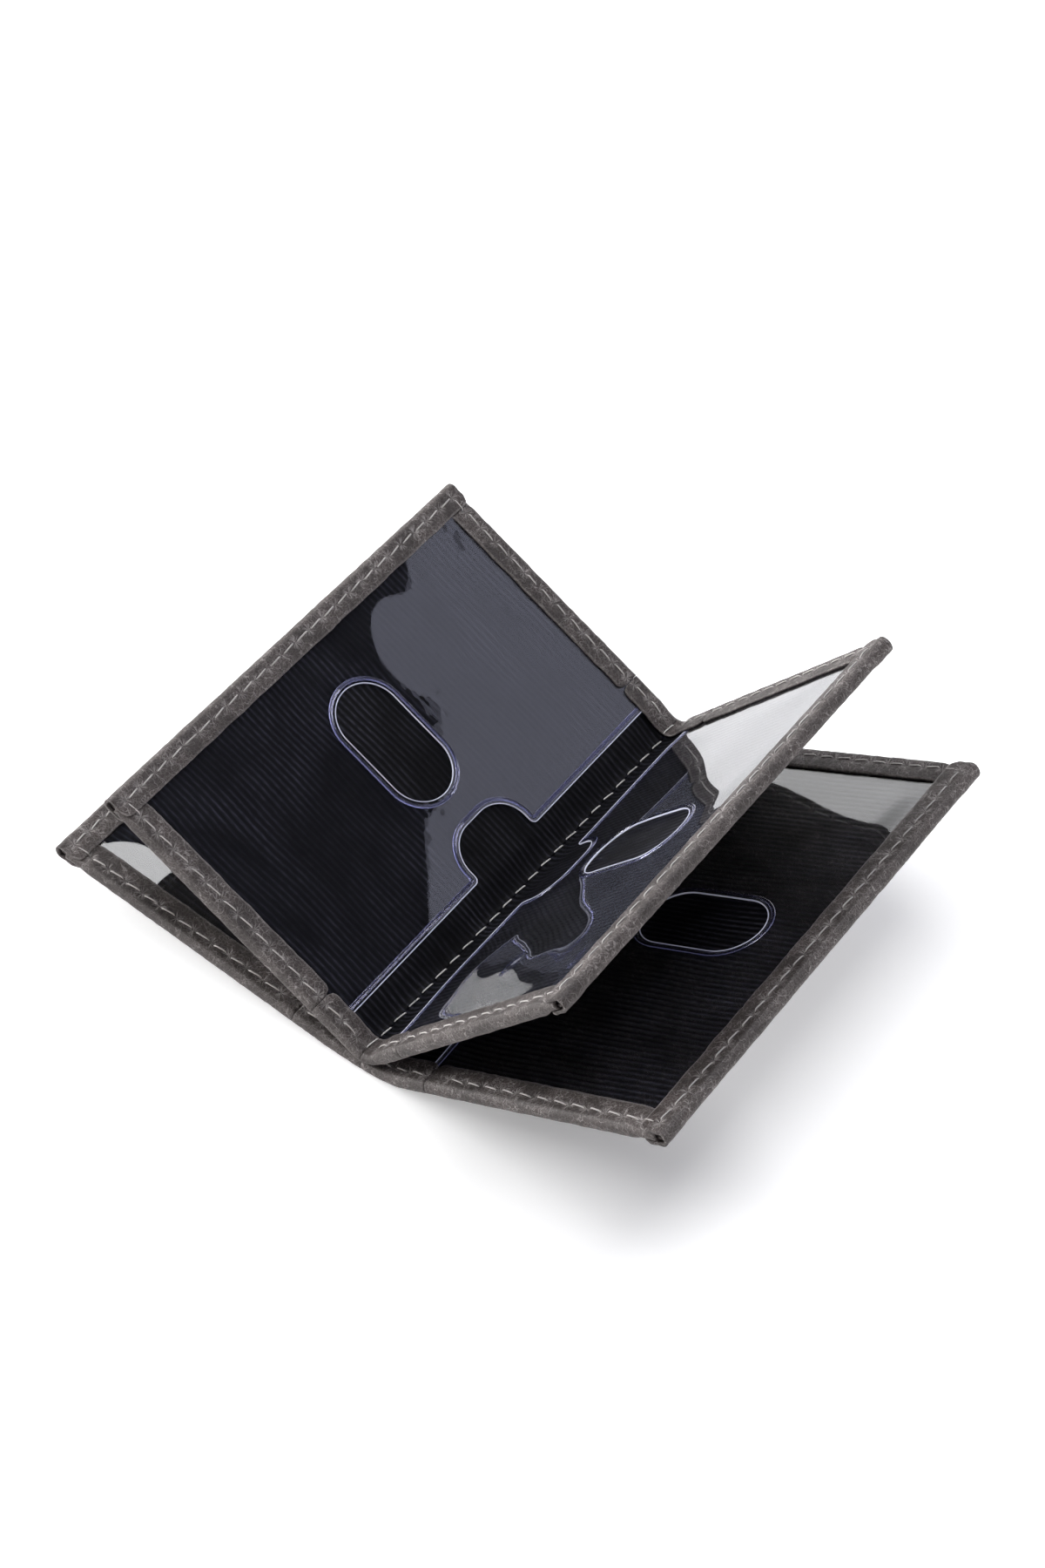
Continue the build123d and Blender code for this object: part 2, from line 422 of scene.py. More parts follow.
def cut_edge_material():
    """Cut edge of the clear sheet, pale, with a faint painted glow that stands in for the light travelling
    inside the sheet.
    """
    material, nodes, links = new_material("cut_edge")
    shader = nodes["Principled BSDF"]
    breaks_up = texture(nodes, links, "ShaderNodeTexNoise", attribute(nodes, "flat"), Scale=160.0, Detail=3.0)
    links.new(mix_colour(nodes, links, breaks_up.outputs["Fac"], (0.35, 0.36, 0.55), (0.92, 0.93, 1.0)),
              shader.inputs["Base Color"])
    shader.inputs["Roughness"].default_value = 0.18
    shader.inputs["Specular IOR Level"].default_value = 0.8
    # Painted glow: the edge emits a little light of its own though it is no lamp
    shader.inputs["Emission Color"].default_value = (0.8, 0.82, 1.0, 1.0)
    shader.inputs["Emission Strength"].default_value = 0.08
    return material


def thread_material(name, dirty, clean):
    """Waxed thread, slightly dirty, with its twist."""
    material, nodes, links = new_material(name)
    shader = nodes["Principled BSDF"]
    place = attribute(nodes, "flat")
    dirt = texture(nodes, links, "ShaderNodeTexNoise", place, Scale=420.0, Detail=3.0)
    links.new(mix_colour(nodes, links, dirt.outputs["Fac"], dirty, clean),
              shader.inputs["Base Color"])
    twist = texture(nodes, links, "ShaderNodeTexWave", place, Scale=900.0, Distortion=1.0,
                    bands_direction="DIAGONAL")
    bump(nodes, links, twist.outputs["Fac"], 0.00006, 0.5, shader)
    shader.inputs["Roughness"].default_value = 0.55
    shader.inputs["Sheen Weight"].default_value = 0.2
    return material


def board_material():
    material, nodes, links = new_material("stiffener_board")
    shader = nodes["Principled BSDF"]
    place = nodes.new("ShaderNodeTexCoord").outputs["Object"]
    fibres = texture(nodes, links, "ShaderNodeTexNoise", place, Scale=900.0, Detail=5.0)
    links.new(mix_colour(nodes, links, fibres.outputs["Fac"], (0.2, 0.17, 0.14), (0.4, 0.35, 0.29)),
              shader.inputs["Base Color"])
    shader.inputs["Roughness"].default_value = 0.85
    return material


LEATHER = leather_material("distressed_leather", (0.025, 0.0185, 0.017), (0.051, 0.0395, 0.037),
                           (0.40, 0.37, 0.36))
LINING = lining_material()
CLEAR = clear_material("clear_sheet", (0.97, 0.975, 1.0), 0.0, 0.015)
WELD = clear_material("welded_rim", (0.68, 0.69, 0.96), 0.05, 0.08)
CUT_EDGE = cut_edge_material()
THREAD = thread_material("waxed_thread", (0.26, 0.24, 0.23), (0.60, 0.57, 0.55))
SEAM_THREAD = thread_material("seam_thread", (0.34, 0.33, 0.32), (0.72, 0.70, 0.68))
BOARD = board_material()


# ---------------------------------------------------------------- stitching

def holes_from(last, stop):
    """Needle holes at the stitch pitch, from last down to above stop."""
    count = int((last - stop) // STITCH_PITCH) + 1
    return last - STITCH_PITCH * np.arange(count)


def free_edge_holes():
    half = HEIGHT / 2 - STITCH_INSET
    return np.linspace(-half, half, int(round(2 * half / STITCH_PITCH)) + 1)


def leaf_edge_holes(leaf):
    return holes_from(leaf.end - STITCH_INSET, leaf.tab_end + 0.6)


def spine_edge_holes(leaf):
    return holes_from(leaf.tab_end - 0.9, 1.0)


def stitch_shape(stations=9, sides=8):
    """Points of one stitch about its middle, along x, dipping into the leather at both ends."""
    k = np.linspace(-1, 1, stations)
    along = k * STITCH_LENGTH / 2
    lift = THREAD_RADIUS + 0.02 - 0.4 * np.abs(k) ** 7
    girth = THREAD_RADIUS * (1 - 0.35 * np.abs(k) ** 4)
    around = np.linspace(0, 2 * math.pi, sides, endpoint=False)
    across = girth[:, None] * np.cos(around)
    up = lift[:, None] + girth[:, None] * np.sin(around) * 0.8
    points = np.stack([np.repeat(along[:, None], sides, 1), across, up], axis=-1)
    ends = [list(range(sides))[::-1], [(stations - 1) * sides + i for i in range(sides)]]
    return points.reshape(-1, 3), [list(f) for f in quads(stations, sides, closed=True)] + ends


STITCH_POINTS, STITCH_FACES = stitch_shape()


def stitch_row(holes, seed):
    """Flat coordinates (along the row, across it, above the surface) of stitches between holes."""
    rng = np.random.default_rng(seed)
    rows = []
    for a, b in zip(holes[:-1], holes[1:]):
        turn = rng.normal(0.11, 0.03)
        points = STITCH_POINTS * (1.05 + rng.normal(0, 0.03), 1, 1)
        along = points[:, 0] * math.cos(turn) - points[:, 1] * math.sin(turn) + (a + b) / 2
        across = points[:, 0] * math.sin(turn) + points[:, 1] * math.cos(turn) + rng.normal(0, 0.03)
        rows.append(np.stack([along, across, points[:, 2]], axis=-1))
    return rows


def gather_stitches(name, placed, flats, material):
    """One piece of many stitches, already placed."""
    step = len(STITCH_POINTS)
    faces = [[i + step * k for i in f] for k in range(len(placed)) for f in STITCH_FACES]
    piece = make_piece(name, np.concatenate(placed), faces, material, np.concatenate(flats))
    fix_normals(piece)
    return piece


# ---------------------------------------------------------------- bound edges

def section_outline(border_here, half, samples_flat=9, samples_round=9):
    """Outer and inner outline of a folded strip: distance from the edge, height, and normal."""
    flat = np.linspace(border_here, EDGE_ROUND, samples_flat, endpoint=False)
    turn = np.linspace(math.pi / 2, -math.pi / 2, samples_round)
    count = len(flat)
    outer_a = np.concatenate([flat, EDGE_ROUND * (1 - np.cos(turn)), flat[::-1]])
    outer_w = np.concatenate([np.full(count, half), half * np.sin(turn), np.full(count, -half)])
    thin = half - STRIP
    inner_a = np.concatenate([flat, EDGE_ROUND - (EDGE_ROUND - STRIP) * np.cos(turn), flat[::-1]])
    inner_w = np.concatenate([np.full(count, thin), thin * np.sin(turn), np.full(count, -thin)])
    normal_a = np.concatenate([np.zeros(count), -np.cos(turn), np.zeros(count)])
    normal_w = np.concatenate([np.ones(count), np.sin(turn), -np.ones(count)])
    return outer_a, outer_w, inner_a, inner_w, normal_a, normal_w


def pucker(along, holes):
    """1 at each needle hole, falling off within about half a millimetre."""
    gap = along[..., None] - np.asarray(holes)
    return np.exp(-(gap / 0.62) ** 2).sum(axis=-1)


def strip_piece(leaf, name, start, stop, lay, holes, ends, half_at, flexible, seed):
    """Folded binding strip along one edge.

    lay(along, a, w) gives the flat coordinates; ends says which ends have rounded flange corners;
    half_at(along) is the half thickness of the folded edge there.
    """
    rows = int((stop - start) / 0.45) + 2
    along = np.linspace(start, stop, rows)
    corner = 1.5
    border = np.full(rows, leaf.border)
    for is_rounded, distance in zip(ends, (along - start, stop - along)):
        if is_rounded:
            near = np.clip(distance, 0, corner)
            border -= corner - np.sqrt(np.maximum(corner ** 2 - (corner - near) ** 2, 0))
    border += 0.05 * ripple(along[:, None], 9.0, seed) + 0.025 * ripple(along[:, None], 2.2, seed + 1)
    halves = half_at(along)
    outer, inner = [], []
    for row in range(rows):
        oa, ow, ia, iw, na, nw = section_outline(border[row], halves[row])
        outer.append(np.stack([oa, ow, na, nw], axis=-1))
        inner.append(np.stack([ia, iw], axis=-1))
    outer, inner = np.array(outer), np.array(inner)
    s = np.repeat(along[:, None], outer.shape[1], axis=1)
    a, w = outer[..., 0], outer[..., 1]
    on_face = np.abs(outer[..., 3]) * (a > EDGE_ROUND * 0.6)
    line = np.exp(-((a - STITCH_INSET) / 0.5) ** 2)
    hole = pucker(s, holes)
    groove = -(0.08 + 0.22 * np.minimum(hole, 1)) * line * on_face
    swell = 0.05 * np.exp(-((a - STITCH_INSET + 1.15) / 0.6) ** 2) * (1 - 0.5 * hole)
    swell += 0.03 * np.exp(-((a - STITCH_INSET - 1.3) / 0.8) ** 2) * on_face
    spot = np.stack([s, a, w], axis=-1)
    relief = 0.03 * ripple(spot, 3.2, seed + 2) + 0.02 * ripple(spot, 1.1, seed + 3)
    thin_edge = -0.12 * np.exp(-((border[:, None] - a) / 0.2) ** 2) * on_face
    lift = groove + swell * on_face + relief + thin_edge
    a = a + outer[..., 2] * lift
    w = w + outer[..., 3] * lift
    wear = 0.5 * np.exp(-((border[:, None] - outer[..., 0]) / 0.2) ** 2) * on_face
    wear += 0.16 * np.exp(-((outer[..., 0] - 0.5) / 0.35) ** 2) + 0.10 * line * on_face
    rank = (s - holes[0]) / (holes[1] - holes[0])
    beyond = (rank < -0.4) | (rank > len(holes) - 0.6) | (on_face < 0.5)
    across = np.where(beyond, 9.0, outer[..., 0] - STITCH_INSET)
    seam = np.stack([rank, across, np.zeros_like(rank)], axis=-1)
    flat_outer = lay(s, a, w)
    flat_inner = lay(s, inner[..., 0], inner[..., 1])
    columns = outer.shape[1]
    loop = np.concatenate([flat_outer, flat_inner[:, ::-1]], axis=1)
    wear = np.concatenate([wear, np.zeros_like(wear)], axis=1)
    seam = np.concatenate([seam, np.full_like(seam, 9.0)], axis=1)
    flat = loop.reshape(-1, 3)
    placed = leaf.place(flat[:, 0], flat[:, 1], flat[:, 2])
    faces = quads(rows, 2 * columns, closed=True).tolist()
    for row, order in ((0, 1), (rows - 1, -1)):
        base = row * 2 * columns
        for j in range(columns - 1):
            cap = [base + j, base + 2 * columns - 1 - j, base + 2 * columns - 2 - j, base + j + 1]
            faces.append(cap[::order])
    flat = flat + np.array([0, 0, seed * 3.7])
    piece = make_piece(name, placed, faces, LEATHER, flat, wear, seam)
    fix_normals(piece)
    return leaf.attach(piece, flexible)


def fix_normals(piece):
    """Turn every face of a closed mesh outward."""
    work = bmesh.new()
    work.from_mesh(piece.data)
    bmesh.ops.recalc_face_normals(work, faces=work.faces)
    work.to_mesh(piece.data)
    work.free()


def free_strip(leaf):
    def lay(s, a, w):
        return np.stack([leaf.end - a + 0 * s, s + 0 * a, w + 0 * s], axis=-1)

    def half_at(along):
        return HALF_THICKNESS + 0.14 * smooth((np.abs(along) - HEIGHT / 2 + leaf.border + 0.8) / 1.6)

    reach = HEIGHT / 2 - 0.15
    piece = strip_piece(leaf, leaf.name + "_strip_free", -reach, reach, lay, free_edge_holes(),
                        (True, True), half_at, False, leaf.seed + 1)
    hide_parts(leaf.name + "_binding_free")


def side_lay(side):
    def lay(s, a, w):
        return np.stack([s + 0 * a, side * (HEIGHT / 2 - a), w + 0 * s], axis=-1)
    return lay


def side_strips(leaf):
    tuck = leaf.end - leaf.border

    def half_at(along):
        return HALF_THICKNESS - 0.42 * smooth((along - tuck + 1.6) / 1.4)

    for side, word in ((-1, "near"), (1, "far")):
        piece = strip_piece(leaf, leaf.name + "_strip_" + word, leaf.tab_end + 0.12, leaf.end - 2.4,
                            side_lay(side), leaf_edge_holes(leaf), (True, False), half_at, False,
                            leaf.seed + 3 + side)
        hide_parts(leaf.name + "_binding_" + word)


def spine_strips(leaf):
    """Half of each short strip that binds the ends of the spine, from its middle to the leaf."""
    def half_at(along):
        return np.full_like(along, HALF_THICKNESS)

    for side, word in ((-1, "near"), (1, "far")):
        piece = strip_piece(leaf, leaf.name + "_spine_strip_" + word, 0.04, leaf.tab_end, side_lay(side),
                            spine_edge_holes(leaf), (False, True), half_at, True, leaf.seed + 6 + side)
        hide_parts(leaf.name + "_spine_tabs", leaf.kind + "_spine_strips")


def edge_stitches(leaf):
    """Thread round the leaf on both faces, and the thread of the spine's strips."""
    fixed, fixed_flat, bending, bending_flat = [], [], [], []
    for face in (1, -1):
        groove = HALF_THICKNESS - 0.09
        for stitch in stitch_row(free_edge_holes(), leaf.seed + face):
            raised = 0.14 * smooth((np.abs(stitch[:, 0]) - HEIGHT / 2 + leaf.border + 0.8) / 1.6)
            fixed_flat.append(np.stack([leaf.end - STITCH_INSET + stitch[:, 1], stitch[:, 0],
                                        face * (groove + raised + stitch[:, 2])], axis=-1))
        for side in (-1, 1):
            for holes, group in ((leaf_edge_holes(leaf), fixed_flat),
                                 (spine_edge_holes(leaf), bending_flat)):
                for stitch in stitch_row(holes, leaf.seed + 2 * side + face):
                    v = side * (HEIGHT / 2 - STITCH_INSET + stitch[:, 1])
                    group.append(np.stack([stitch[:, 0], v, face * (groove + stitch[:, 2])], axis=-1))
    for flats, placed in ((fixed_flat, fixed), (bending_flat, bending)):
        for points in flats:
            placed.append(leaf.place(points[:, 0], points[:, 1], points[:, 2]))
    piece = gather_stitches(leaf.name + "_thread", fixed, fixed_flat, THREAD)
    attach(piece, leaf.name)
    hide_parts(leaf.name + "_stitches")
    piece = gather_stitches(leaf.name + "_spine_thread", bending, bending_flat, THREAD)
    leaf.attach(piece, True)


# ---------------------------------------------------------------- panels, linings, windows

def breaks(*stops):
    """Sorted coordinates through all the given runs."""
    return np.unique(np.concatenate([np.atleast_1d(s) for s in stops]).round(4))


def outer_leather(leaf):
    """Outer leather from the middle of the spine to the free edge, thinned under the binding."""
    edge_t = leaf.end - leaf.border
    edge_v = HEIGHT / 2 - leaf.border
    t = breaks(np.arange(0, 12, 0.6), np.arange(12, leaf.end - 1.0, 1.0), edge_t - 0.12, edge_t + 0.12,
               leaf.end - 0.9)
    v = breaks(np.arange(-48, 48.1, 1.0), [-49.2, 49.2],
               [-edge_v - 0.12, -edge_v + 0.12, edge_v - 0.12, edge_v + 0.12])
    grid_t, grid_v = np.meshgrid(t, v, indexing="ij")
    under = np.maximum(smooth((np.abs(grid_v) - edge_v + 0.12) / 0.24),
                       smooth((grid_t - edge_t + 0.12) / 0.24))
    spot = np.stack([grid_t, grid_v], axis=-1)
    relief = 0.05 * ripple(spot, 14.0, leaf.seed + 40) + 0.025 * ripple(spot, 4.0, leaf.seed + 41)
    back = -(1.16 + relief) * (1 - under) - 0.74 * under
    front = np.full_like(back, -0.1)
    if leaf.kind == "inner":
        front = front - 0.7 * np.exp(-(grid_t / 1.6) ** 2)
    rows, columns = grid_t.shape
    flats = [np.stack([grid_t, grid_v, w], axis=-1) for w in (front, back)]
    placed = [leaf.place(f[..., 0], f[..., 1], f[..., 2]) for f in flats]
    points, faces = sheet_solid(placed[0], placed[1], rows, columns)
    flat = np.concatenate([f.reshape(-1, 3) for f in flats])
    nowhere = np.full((len(flat), 3), 9.0)
    unworn = np.zeros(len(flat))
    piece = make_piece(leaf.name + "_outer_leather", points, faces, LEATHER, flat, unworn, nowhere)
    fix_normals(piece)
    leaf.attach(piece, True)
    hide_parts(leaf.name + "_leather", leaf.kind + "_spine_leather")


def rib_crown(leaf, t, v):
    """1 on the crown of each rib of the lining and 0 between ribs; the ribs wander a little."""
    spot = np.stack([t, v], axis=-1)
    wander = 0.25 * ripple(spot, 26.0, leaf.seed + 50) + 0.35 * np.exp(-(t / 4.0) ** 2) * np.sin(v / 2.1)
    return 0.5 + 0.5 * np.cos(2 * math.pi * (v + wander) / RIB_PITCH)


def lining(leaf):
    """Ribbed lining from the spine seam to the free edge."""
    t = breaks(np.arange(0, 10, 0.45), np.arange(10, leaf.end - 1.0, 2.2), leaf.end - 1.0)
    half = HEIGHT / 2 - 1.0
    v = np.linspace(-half, half, int(2 * half / RIB_PITCH * 7))
    grid_t, grid_v = np.meshgrid(t, v, indexing="ij")
    crown = rib_crown(leaf, grid_t, grid_v)
    front = LINING_TOP + RIB_HEIGHT * (crown - 0.5)
    back = np.full_like(front, LINING_BOTTOM - 0.12)
    seam = np.exp(-(grid_t / 1.4) ** 2)
    if leaf.kind == "inner":
        tuck = pucker(grid_v, spine_seam_holes())
        front = front - seam * (0.25 + 0.28 * tuck)
        back = back - seam * 0.6
    flats = [np.stack([grid_t, grid_v, w], axis=-1) for w in (front, back)]
    placed = [leaf.place(f[..., 0], f[..., 1], f[..., 2]) for f in flats]
    points, faces = sheet_solid(placed[0], placed[1], *grid_t.shape)
    flat = np.concatenate([f.reshape(-1, 3) for f in flats])
    # Rib crowns for the lining's material, which paints a lighter sheen on them
    painted_sheen_crowns = np.concatenate([crown.ravel(), np.zeros(crown.size)])
    piece = make_piece(leaf.name + "_ribbed_lining", points, faces, LINING, flat, painted_sheen_crowns)
    fix_normals(piece)
    leaf.attach(piece, True)
    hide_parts(leaf.name + "_lining", leaf.kind + "_spine_lining")


def stiffener(leaf):
    """Card that stiffens the leaf between outer leather and lining."""
    t = np.array([leaf.straight_from + 1.0, leaf.end - 1.2])
    grid_t, grid_v = np.meshgrid(t, [-48.6, 48.6], indexing="ij")
    placed = [leaf.place(grid_t, grid_v, w) for w in (0.07, -0.09)]
    points, faces = sheet_solid(placed[0], placed[1], 2, 2)
    piece = make_piece(leaf.name + "_stiffener", points, faces, BOARD)
    piece.data.polygons.foreach_set("use_smooth", [False] * len(piece.data.polygons))
    fix_normals(piece)
    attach(piece, leaf.name)
    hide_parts(leaf.name + "_board")


def arc(centre, radius, start, stop, step=0.45):
    """Points on an arc in degrees, start to stop."""
    count = max(3, int(abs(math.radians(stop - start)) * radius / step) + 1)
    turn = np.radians(np.linspace(start, stop, count))
    return [(centre[0] + radius * math.cos(k), centre[1] + radius * math.sin(k)) for k in turn]


def run(a, b, step=0.9):
    """Points from a to just before b."""
    count = max(1, int(math.dist(a, b) / step))
    return [(a[0] + (b[0] - a[0]) * k / count, a[1] + (b[1] - a[1]) * k / count) for k in range(count)]


def notched_edge(edge, half):
    """The pocket's spine-side edge from far to near, with the thumb notch."""
    top, bottom = NOTCH_V + NOTCH_HALF, NOTCH_V - NOTCH_HALF
    deep = edge + NOTCH_DEPTH
    r, m = NOTCH_RADIUS, NOTCH_MOUTH
    points = run((edge, half), (edge, top + m))
    points += arc((edge + m, top + m), m, 180, 270)
    points += run((edge + m + 0.3, top), (deep - r, top))
    points += arc((deep - r, top - r), r, 90, 0)
    points += run((deep, top - r - 0.3), (deep, bottom + r))
    points += arc((deep - r, bottom + r), r, 0, -90)
    points += run((deep - r - 0.3, bottom), (edge + m, bottom))
    points += arc((edge + m, bottom - m), m, 90, 180)
    points += run((edge, bottom - m - 0.5), (edge, -half))
    return points + [(edge, -half)]


def slot_loop(centre_t):
    reach = SLOT_HALF_LENGTH - SLOT_RADIUS
    r = SLOT_RADIUS
    points = arc((centre_t + reach, SLOT_V), r, -90, 90)
    points += run((centre_t + reach - 0.4, SLOT_V + r), (centre_t - reach, SLOT_V + r))
    points += arc((centre_t - reach, SLOT_V), r, 90, 270)
    points += run((centre_t - reach + 0.4, SLOT_V - r), (centre_t + reach, SLOT_V - r))
    return points


def inside(points, loop):
    """Which points lie inside a closed loop."""
    x, y = points[:, 0], points[:, 1]
    result = np.zeros(len(points), bool)
    for (ax, ay), (bx, by) in zip(loop, loop[1:] + loop[:1]):
        crosses = (ay > y) != (by > y)
        if ay != by:
            result ^= crosses & (x < (bx - ax) * (y - ay) / (by - ay) + ax)
    return result


def near_any(points, line, distance):
    gap = np.linalg.norm(points[:, None, :] - np.array(line)[None], axis=2)
    return gap.min(axis=1) < distance


# Waves in each clear sheet: general ripple, then humps as (t, v, size along t, size along v, height)
SHEET_RIPPLE = {"inner_left": 0.0, "inner_right": 0.12, "cover_left": 0.08, "cover_right": 0.07}
SHEET_HUMPS = {
    "inner_left": [(54.6, 12, 8, 8, 0.14), (54.6, 38, 9, 9, -0.06), (40.6, 20, 9, 9, -0.04),
                   (32.6, 8, 10, 9, -0.03), (22.6, -4, 10, 9, -0.03)],
    "inner_right": [(30, 0, 18, 22, 0.8), (16, -30, 8, 10, 0.9), (34, -34, 7, 6, 0.5)],
    "cover_left": [(45, -10, 15, 25, 0.3)],
    "cover_right": [(45, 20, 14, 20, 0.2), (58, 34, 8, 9, 0.15)],
}


def sheet_wave(leaf, t, v):
    """Height of the clear sheet over its flat place."""
    spot = np.stack(np.broadcast_arrays(t, v), axis=-1)
    wave = 0.1 + SHEET_RIPPLE[leaf.name] * ripple(spot, 34.0, leaf.seed + 60, 5)
    for ct, cv, st, sv, height in SHEET_HUMPS[leaf.name]:
        wave = wave + height * np.exp(-((t - ct) / st) ** 2 - ((v - cv) / sv) ** 2)
    if leaf.name == "inner_left":
        return wave
    edge_t = leaf.end - leaf.border
    edge_v = HEIGHT / 2 - leaf.border
    held = smooth((edge_t - t) / 6) * smooth((edge_v - np.abs(v)) / 6)
    return np.maximum(wave, -0.02) * held


def window(leaf):
    """Clear pocket sheet with a thickened weld round its slot and along its notched edge."""
    edge = leaf.end - POCKET_WIDTH
    half = HEIGHT / 2 - 1.2
    stop = leaf.end - 1.2
    front_edge = notched_edge(edge, half)
    outline = front_edge + run((edge + 0.9, -half), (stop, -half)) + run((stop, -half), (stop, half))
    outline += run((stop, half), (edge + 0.5, half))
    hole = slot_loop(leaf.end - SLOT_FROM_FREE_EDGE)
    gt, gv = np.meshgrid(np.arange(edge + 0.7, stop, 1.2), np.arange(-half + 0.7, half, 1.2))
    grid = np.stack([gt.ravel(), gv.ravel()], axis=-1)
    grid = grid[inside(grid, outline) & ~inside(grid, hole)]
    grid = grid[~near_any(grid, outline + hole, 0.6)]
    points = [Vector(p) for p in outline + hole + grid.tolist()]
    n, m = len(outline), len(hole)
    edges = [(i, (i + 1) % n) for i in range(n)] + [(n + i, n + (i + 1) % m) for i in range(m)]
    found = delaunay_2d_cdt(points, edges, [], 0, 1e-5)
    flat = np.array([tuple(p) for p in found[0]])
    triangles = np.array([list(f) for f in found[2]])
    centres = flat[triangles].mean(axis=1)
    triangles = triangles[inside(centres, outline) & ~inside(centres, hole)]
    wave = sheet_wave(leaf, flat[:, 0], flat[:, 1])
    low, high = 0.5 + wave, 0.8 + wave
    count = len(flat)
    all_flat = np.concatenate([np.column_stack([flat, high]), np.column_stack([flat, low])])
    faces = triangles.tolist() + (triangles[:, ::-1] + count).tolist()
    directed = {(a, b) for f in triangles.tolist() for a, b in zip(f, f[1:] + f[:1])}
    faces += [[b, a, a + count, b + count] for a, b in directed if (b, a) not in directed]
    parts = [(all_flat, faces)]
    for section in (WELD_SECTION, CUT_SECTION):
        for line, closed in ((hole, True), (front_edge[2:-2], False)):
            parts.append(bead(leaf, np.array(line), closed, section))
    starts = np.cumsum([0] + [len(points) for points, _ in parts])
    all_flat = np.concatenate([points for points, _ in parts])
    all_faces = [[i + start for i in f] for start, (_, group) in zip(starts, parts) for f in group]
    placed = leaf.place(all_flat[:, 0], all_flat[:, 1], all_flat[:, 2])
    piece = make_piece(leaf.name + "_clear_window", placed, all_faces, CLEAR, all_flat)
    piece.data.materials.append(WELD)
    piece.data.materials.append(CUT_EDGE)
    kinds = np.repeat((0, 1, 1, 2, 2), [len(group) for _, group in parts])
    piece.data.polygons.foreach_set("material_index", kinds)
    fix_normals(piece)
    sharpen_edges(piece)
    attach(piece, leaf.name)
    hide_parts(leaf.name + "_window")


def sharpen_edges(piece, angle=50):
    """Keep a flat look across the sheet's cut edges."""
    mesh = piece.data
    limit = math.radians(angle)
    work = bmesh.new()
    work.from_mesh(mesh)
    for edge in work.edges:
        if len(edge.link_faces) == 2 and edge.calc_face_angle(0) > limit:
            edge.smooth = False
    work.to_mesh(mesh)
    work.free()


# Sections that run along the sheet's open edges: distance into the sheet and height over it
CUT_SECTION = ((-0.14, -0.20), (-0.17, -0.04), (-0.10, 0.06), (0.0, 0.06), (0.05, -0.05), (-0.02, -0.22))
WELD_SECTION = ((0.50, -0.02), (0.57, 0.09), (0.67, 0.12), (0.78, 0.06), (0.94, 0.06), (1.05, 0.12),
                (1.15, 0.09), (1.24, -0.02), (1.12, -0.16), (0.62, -0.16))


def bead(leaf, line, closed, section):
    """Points and faces of a bead that follows a line of the sheet's outline."""
    ahead = np.roll(line, -1, axis=0) - np.roll(line, 1, axis=0)
    if not closed:
        ahead[0] = line[1] - line[0]
        ahead[-1] = line[-1] - line[-2]
    ahead /= np.linalg.norm(ahead, axis=1)[:, None]
    inward = np.column_stack([ahead[:, 1], -ahead[:, 0]])
    if not closed:
        inward = -inward
    rings = []
    for distance, height in section:
        spot = line + inward * distance
        top = 0.8 + sheet_wave(leaf, spot[:, 0], spot[:, 1])
        rings.append(np.column_stack([spot, top + height]))
    points = np.stack(rings, axis=1)
    count, sides = points.shape[:2]
    faces = quads(count, sides, closed=True).tolist()
    if closed:
        last = (count - 1) * sides
        faces += [[last + j, last + (j + 1) % sides, (j + 1) % sides, j] for j in range(sides)]
    else:
        faces += [list(range(sides)), [(count - 1) * sides + j for j in range(sides)][::-1]]
    return points.reshape(-1, 3), faces


# ---------------------------------------------------------------- spine seam

def spine_seam_holes():
    half = HEIGHT / 2 - 1.6
    return np.linspace(-half, half, int(round(2 * half / STITCH_PITCH)) + 1)


def spine_seam():
    """The seam that joins book and cover along the middle of the spine, inside and outside."""
    placed, flats = [], []
    end_strip = HEIGHT / 2 - BORDER["inner"]
    base = SPINE_BASE["inner"]
    strip_top = base + 2 * HALF_THICKNESS * SPINE_SQUEEZE
    lining_top = base + (LINING_TOP + HALF_THICKNESS - 0.32) * SPINE_SQUEEZE
    for stitch in stitch_row(spine_seam_holes(), 90):
        middle = np.abs(stitch[:, 0]).mean()
        top = strip_top if middle > end_strip else lining_top
        for level, face in ((top, 1), (0.12, -1)):
            flats.append(np.stack([stitch[:, 1], stitch[:, 0], face * stitch[:, 2]], axis=-1))
            placed.append(np.stack([stitch[:, 1], stitch[:, 0], level + face * stitch[:, 2]], axis=-1))
    piece = gather_stitches("spine_thread", placed, flats, SEAM_THREAD)
    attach(piece, "spine")
    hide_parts("spine_stitches")


# ---------------------------------------------------------------- stage

# The camera that the wallet is looked at with: azimuth, elevation and roll in degrees, millimetres
CAMERA_AZIMUTH = 33.12
CAMERA_ELEVATION = 48.89
CAMERA_ROLL = 3.26
CAMERA_TARGET = (28.44, -46.93, 93.28)
CAMERA_DISTANCE = 490.1
CAMERA_LENS = 74.83
SENSOR = 36.0


def camera():
    azimuth, elevation, roll = map(math.radians, (CAMERA_AZIMUTH, CAMERA_ELEVATION, CAMERA_ROLL))
    back = Vector((math.sin(azimuth) * math.cos(elevation), -math.cos(azimuth) * math.cos(elevation),
                   math.sin(elevation)))
    right = Vector((0, 0, 1)).cross(back).normalized()
    up = back.cross(right)
    turned_right = right * math.cos(roll) + up * math.sin(roll)
    turned_up = up * math.cos(roll) - right * math.sin(roll)
    data = bpy.data.cameras.new("camera")
    data.sensor_fit = "VERTICAL"
    data.sensor_height = SENSOR
    data.lens = CAMERA_LENS
    data.clip_start = 0.01
    holder = bpy.data.objects.new("camera", data)
    bpy.context.scene.collection.objects.link(holder)
    place = (Vector(CAMERA_TARGET) + back * CAMERA_DISTANCE) * MM
    rows = Matrix((turned_right, turned_up, back)).transposed().to_4x4()
    holder.matrix_world = Matrix.Translation(place) @ rows
    bpy.context.scene.camera = holder


